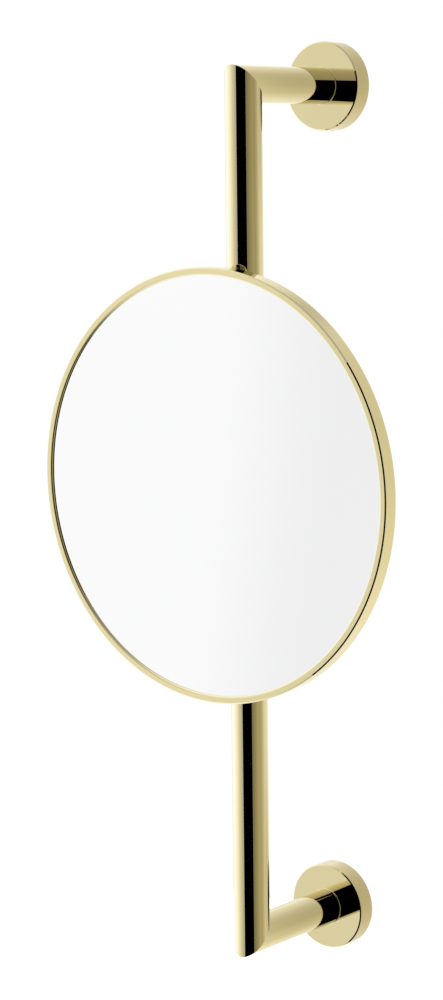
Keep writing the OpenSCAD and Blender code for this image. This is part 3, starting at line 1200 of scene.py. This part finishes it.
@dataclass
class Studio:
    """The plain white studio, its pale floor and its soft lamps, with its lengths in metres.

    Polished metal shows what stands round it. Rays that leave the metal see a white room with
    grey screens in it, a dark doorway on the side that the object is looked at from, and soft
    painted shades on a clear screen at the wall, which stand in for the shadows that the arms
    and the head cast there.
    """

    ring: tuple[RingStop, ...] = (
        RingStop(-180, (0.94, 0.92, 0.84), 0.15),
        RingStop(-160, (0.97, 0.96, 0.89), 0.10),
        RingStop(-150, (1.00, 0.99, 0.95), 0.05),
        RingStop(-145, (1.12, 1.13, 1.12)),
        RingStop(-141, (1.02, 1.02, 0.98)),
        RingStop(-134, (0.80, 0.80, 0.77)),
        RingStop(-126, (0.84, 0.85, 0.86)),
        RingStop(-112, (1.22, 1.28, 1.45)),
        RingStop(-84, (1.27, 1.37, 1.70)),
        RingStop(-62, (1.19, 1.25, 1.33)),
        RingStop(-44, (0.99, 1.01, 0.92)),
        RingStop(-36, (0.87, 0.86, 0.73)),
        RingStop(-15, (0.58, 0.58, 0.57)),
        RingStop(4, (0.52, 0.53, 0.56)),
        RingStop(24, (0.46, 0.46, 0.49)),
        RingStop(45, (0.33, 0.32, 0.30)),
        RingStop(58, (0.24, 0.23, 0.15)),
        RingStop(67, (0.31, 0.29, 0.17)),
        RingStop(80, (0.375, 0.34, 0.20), 0.35),
        RingStop(93, (0.43, 0.40, 0.25), 0.60),
        RingStop(108, (0.41, 0.37, 0.24), 0.70),
        RingStop(123, (0.54, 0.49, 0.36), 0.60),
        RingStop(132, (0.64, 0.60, 0.46), 0.50),
        RingStop(141, (0.84, 0.81, 0.66), 0.25),
        RingStop(151, (0.86, 0.84, 0.69), 0.20),
        RingStop(163, (0.90, 0.87, 0.75), 0.20),
    )
    rail_setback: float = 0.072
    door_turn: float = 22.65
    door_half_angle: float = 30.45
    door_distance: float = 0.785
    door_spread: float = 0.012
    door_top: float = 0.535
    door_bottom: float = -2.20
    shade_gap: float = 0.002
    shade_half: float = 0.40
    # Painted shade: ovals on the wall screen that dim what is seen past them, in place of the shadows of
    # the arms and of the head
    arm_shades: tuple[Shade, ...] = (
        Shade(0.035, 0.210, 0.062, 0.100),
        Shade(0.035, -0.210, 0.062, 0.100),
    )
    arm_shade_tint: Colour = (0.71, 0.69, 0.63)
    head_shade: Shade = Shade(0.030, 0.019, 0.135, 0.135, 0.78)
    head_shade_tint: Colour = (0.14, 0.14, 0.13)
    last_bounce: int = 2
    glass_sides: Pair = (-0.637, -0.593)
    glass_levels: Pair = (1.00, 0.90)
    plain_light: Colour = (0.9, 0.9, 0.9)
    floor_drop: float = 2.5
    floor_size: float = 12.0
    floor_parts: int = 8
    floor_drift: Grain = Grain(3, 4, (0.3, 0.7))
    floor_levels: Pair = (0.86, 0.90)
    lamps: tuple[Lamp, ...] = (
        Lamp("key_lamp", (-1.6, -2.2, 2.2), watts=22.0, size=1.6),
        Lamp("fill_lamp", (2.4, -1.4, 1.2), watts=9.0, size=1.8),
    )

    def reflection(self, bench: NodeBench, parts: Sequence[Socket]) -> Socket:
        """Builds the room that the polished metal shows.

        Args:
            bench: the world's nodes
            parts: the ray's direction along X, Y and Z

        Returns:
            The colour in that direction.
        """
        azimuth = bench.sum("ARCTAN2", parts[0], bench.sum("MULTIPLY", parts[1], -1.0))
        circle = bench.add("ValToRGB", bench.ranged(azimuth, (-math.pi, math.pi), (0, 1)))
        stops = circle.color_ramp.elements
        stops.remove(stops[1])
        seam = replace(self.ring[0], azimuth=HALF_TURN)
        for number, stop in enumerate((*self.ring, seam)):
            share = (stop.azimuth + HALF_TURN) / (2 * HALF_TURN)
            element = stops[0] if number == 0 else stops.new(share)
            element.position = share
            element.color = (*stop.colour, stop.falloff)
        lost = bench.sum("MULTIPLY", circle.outputs["Alpha"], bench.sum("ARCSINE", parts[2]))
        tone = bench.add("VectorMath", circle.outputs["Color"], operation="SCALE")
        bench.feed(tone.inputs["Scale"], bench.sum("SUBTRACT", 1.0, lost))
        return tone.outputs[0]

    def build_screen(self, name: str, corners: Sequence[Vector]) -> NodeBench:
        """Builds a flat screen that only polished surfaces show.

        Args:
            name: the screen's name
            corners: its corners in order, in metres

        Returns:
            The bench for the screen's own material.
        """
        shape = bmesh.new()
        bmesh.ops.contextual_create(shape, geom=[shape.verts.new(corner) for corner in corners])
        material, bench = new_material(name)
        screen = made_object(name, shape, material)
        screen.visible_camera = False
        screen.visible_diffuse = False
        screen.visible_transmission = False
        screen.visible_shadow = False
        return bench

    def build_door(self) -> None:
        """Builds the dark doorway. The mirror glass looks through it at the white room."""
        away = self.door_distance
        half = math.tan(math.radians(self.door_half_angle))
        low, high = (away * (half + spread) for spread in (self.door_spread, -self.door_spread))
        places = (
            (-low, self.door_bottom),
            (low, self.door_bottom),
            (high, self.door_top),
            (-high, self.door_top),
        )
        turn = Matrix.Rotation(math.radians(self.door_turn), 4, "Z")
        move = Matrix.Translation((0, -self.rail_setback, 0)) @ turn
        corners = [move @ Vector((across, -away, up)) for across, up in places]
        bench = self.build_screen("dark_doorway", corners)
        dark = bench.named("Emission", Strength=0.0)
        clear = bench.named("BsdfTransparent")
        mix = bench.add("MixShader", self.seen_by_glass(bench, SCREEN_DEPTH), dark, clear)
        bench.add("OutputMaterial", mix.outputs[0])

    def clearness(self, bench: NodeBench, parts: Sequence[Socket], shade: Shade) -> Socket:
        """Gives 0 in the core of a shade and 1 outside it, with a soft edge.

        Args:
            bench: the wall screen's nodes
            parts: the place on the wall along X, Y and Z
            shade: the oval

        Returns:
            The level.
        """
        lines = ((parts[0], shade.across, shade.reach_across), (parts[2], shade.up, shade.reach_up))
        squares = []
        for part, middle, reach in lines:
            away = bench.sum("DIVIDE", bench.sum("SUBTRACT", part, middle), reach)
            squares.append(bench.sum("MULTIPLY", away, away))
        distance = bench.sum("SQRT", bench.sum("ADD", *squares))
        return bench.ranged(distance, (shade.core, 1), (0, 1), "SMOOTHSTEP")

    def build_shades(self) -> None:
        """Builds the screen on the wall with its painted shades, which dim what is seen past them.

        The head's own painted shade only shows in a reflection of a reflection, such as the back of
        the head seen in the rail.
        """
        half = self.shade_half
        places = ((-half, -half), (half, -half), (half, half), (-half, half))
        corners = [Vector((across, self.shade_gap, up)) for across, up in places]
        bench = self.build_screen("wall_shades", corners)
        parts = bench.parts("Object")
        arms = bench.sum("MULTIPLY", *(self.clearness(bench, parts, shade) for shade in self.arm_shades))
        first = bench.bounces("LESS_THAN", SCREEN_DEPTH)
        head = bench.sum("MAXIMUM", first, self.clearness(bench, parts, self.head_shade))
        # Painted shade: these tints darken what the polished metal shows past the wall screen
        tint = bench.blend(head, self.head_shade_tint, bench.blend(arms, self.arm_shade_tint, WHITE))
        bench.add("OutputMaterial", bench.named("BsdfTransparent", Color=tint))

    def seen_by_glass(self, bench: NodeBench, depth: int) -> Socket:
        """Gives 1 for a ray that comes straight off the mirror glass, whose polish is perfect."""
        singular = bench.add("LightPath").outputs["Is Singular Ray"]
        return bench.sum("MULTIPLY", singular, bench.bounces("LESS_THAN", depth))

    def build_world(self) -> None:
        """Builds the white room, which the camera and the mirror glass see as plain light."""
        world = bpy.data.worlds.new("white_room")
        bpy.context.scene.world = world
        world.use_nodes = True
        bench = NodeBench(world.node_tree)
        parts = bench.parts("Generated")
        path = bench.add("LightPath").outputs
        spent = bench.bounces("GREATER_THAN", WORLD_DEPTH + self.last_bounce - 1)
        room = bench.blend(spent, self.reflection(bench, parts), BLACK)
        shown = bench.blend(path["Is Glossy Ray"], self.plain_light, room)
        level = bench.ranged(parts[0], self.glass_sides, self.glass_levels, "SMOOTHSTEP")
        shown = bench.blend(self.seen_by_glass(bench, WORLD_DEPTH), shown, bench.grey(level))
        clear = bench.sum("MAXIMUM", path["Is Camera Ray"], path["Is Transmission Ray"])
        bench.add("OutputWorld", bench.named("Background", Color=bench.blend(clear, shown, WHITE)))

    def build_floor(self) -> None:
        """Builds the pale floor far below the object."""
        shape = bmesh.new()
        bmesh.ops.create_grid(
            shape,
            x_segments=self.floor_parts,
            y_segments=self.floor_parts,
            size=self.floor_size / 2,
            matrix=Matrix.Translation((0, 0, -self.floor_drop)),
        )
        material, bench = new_material("pale_floor")
        level = bench.ranged(bench.grain(self.floor_drift), (0, 1), self.floor_levels)
        matt = bench.named("BsdfDiffuse", Color=bench.grey(level))
        white = bench.named("Emission", Strength=bench.add("LightPath").outputs["Is Camera Ray"])
        bench.add("OutputMaterial", bench.add("AddShader", matt, white).outputs[0])
        floor = made_object("studio_floor", shape, material)
        floor.visible_glossy = False

    def build_lamps(self) -> None:
        """Builds the soft lamps, which light the plain surfaces."""
        for lamp in self.lamps:
            light = bpy.data.lights.new(lamp.name, "AREA")
            light.energy = lamp.watts
            light.size = lamp.size
            holder = bpy.data.objects.new(lamp.name, light)
            holder.location = lamp.place
            holder.rotation_euler = Vector(lamp.place).to_track_quat("Z", "Y").to_euler()
            holder.visible_glossy = False
            holder.visible_camera = False
            bpy.context.scene.collection.objects.link(holder)

    def build(self) -> None:
        """Builds the room, the screens, the floor and the lamps."""
        self.build_world()
        self.build_door()
        self.build_shades()
        self.build_floor()
        self.build_lamps()
        bpy.context.scene.view_settings.view_transform = "Standard"


@dataclass
class Viewpoint:
    """The camera at the photograph's angle, with its sizes in millimetres and degrees.

    It stands at its distance from the middle of the rail and aims a little beside it.
    """

    azimuth: float = 38.753
    elevation: float = 8.079
    distance: float = 1230.304
    roll: float = -0.674
    focal: float = 90.61
    sensor: float = 36.0
    aim_right: float = -12.704
    aim_up: float = 9.530
    rail: Triple = (0, -72, 0)
    nearest: float = 50.0

    def build(self) -> None:
        """Builds the camera and makes it the scene's own."""
        turn = Matrix.Rotation(math.radians(self.azimuth), 4, "Z")
        rise = Matrix.Rotation(math.radians(-self.elevation), 4, "X")
        seat = Matrix.Translation(self.rail) @ turn @ rise
        eye = seat @ Vector((0, -self.distance, 0))
        aim = seat @ Vector((self.aim_right, 0, self.aim_up))
        look = (eye - aim).to_track_quat("Z", "Y").to_matrix().to_4x4()
        roll = Matrix.Rotation(math.radians(self.roll), 4, "Z")
        camera = bpy.data.cameras.new("viewpoint")
        camera.sensor_width = self.sensor
        camera.lens = self.focal
        camera.clip_start = self.nearest * METRES
        holder = bpy.data.objects.new("viewpoint", camera)
        bpy.context.scene.collection.objects.link(holder)
        holder.matrix_world = Matrix.Translation(eye * METRES) @ look @ roll
        bpy.context.scene.camera = holder


def main() -> None:
    """Builds the object's pieces, then the studio and the camera."""
    logging.basicConfig(level=logging.INFO, format="%(name)s: %(message)s")
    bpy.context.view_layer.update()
    rail_frame = RailFrame()
    rail_frame.build()
    for word, side in (("upper", 1), ("lower", -1)):
        WallMount(word=word, lift=side * rail_frame.half_spacing).build()
    Slider().build()
    BallJoint().build()
    MirrorHead().build()
    dress_kept_nodes()
    Studio().build()
    Viewpoint().build()
    bpy.context.view_layer.update()


if __name__ == "__main__":
    main()
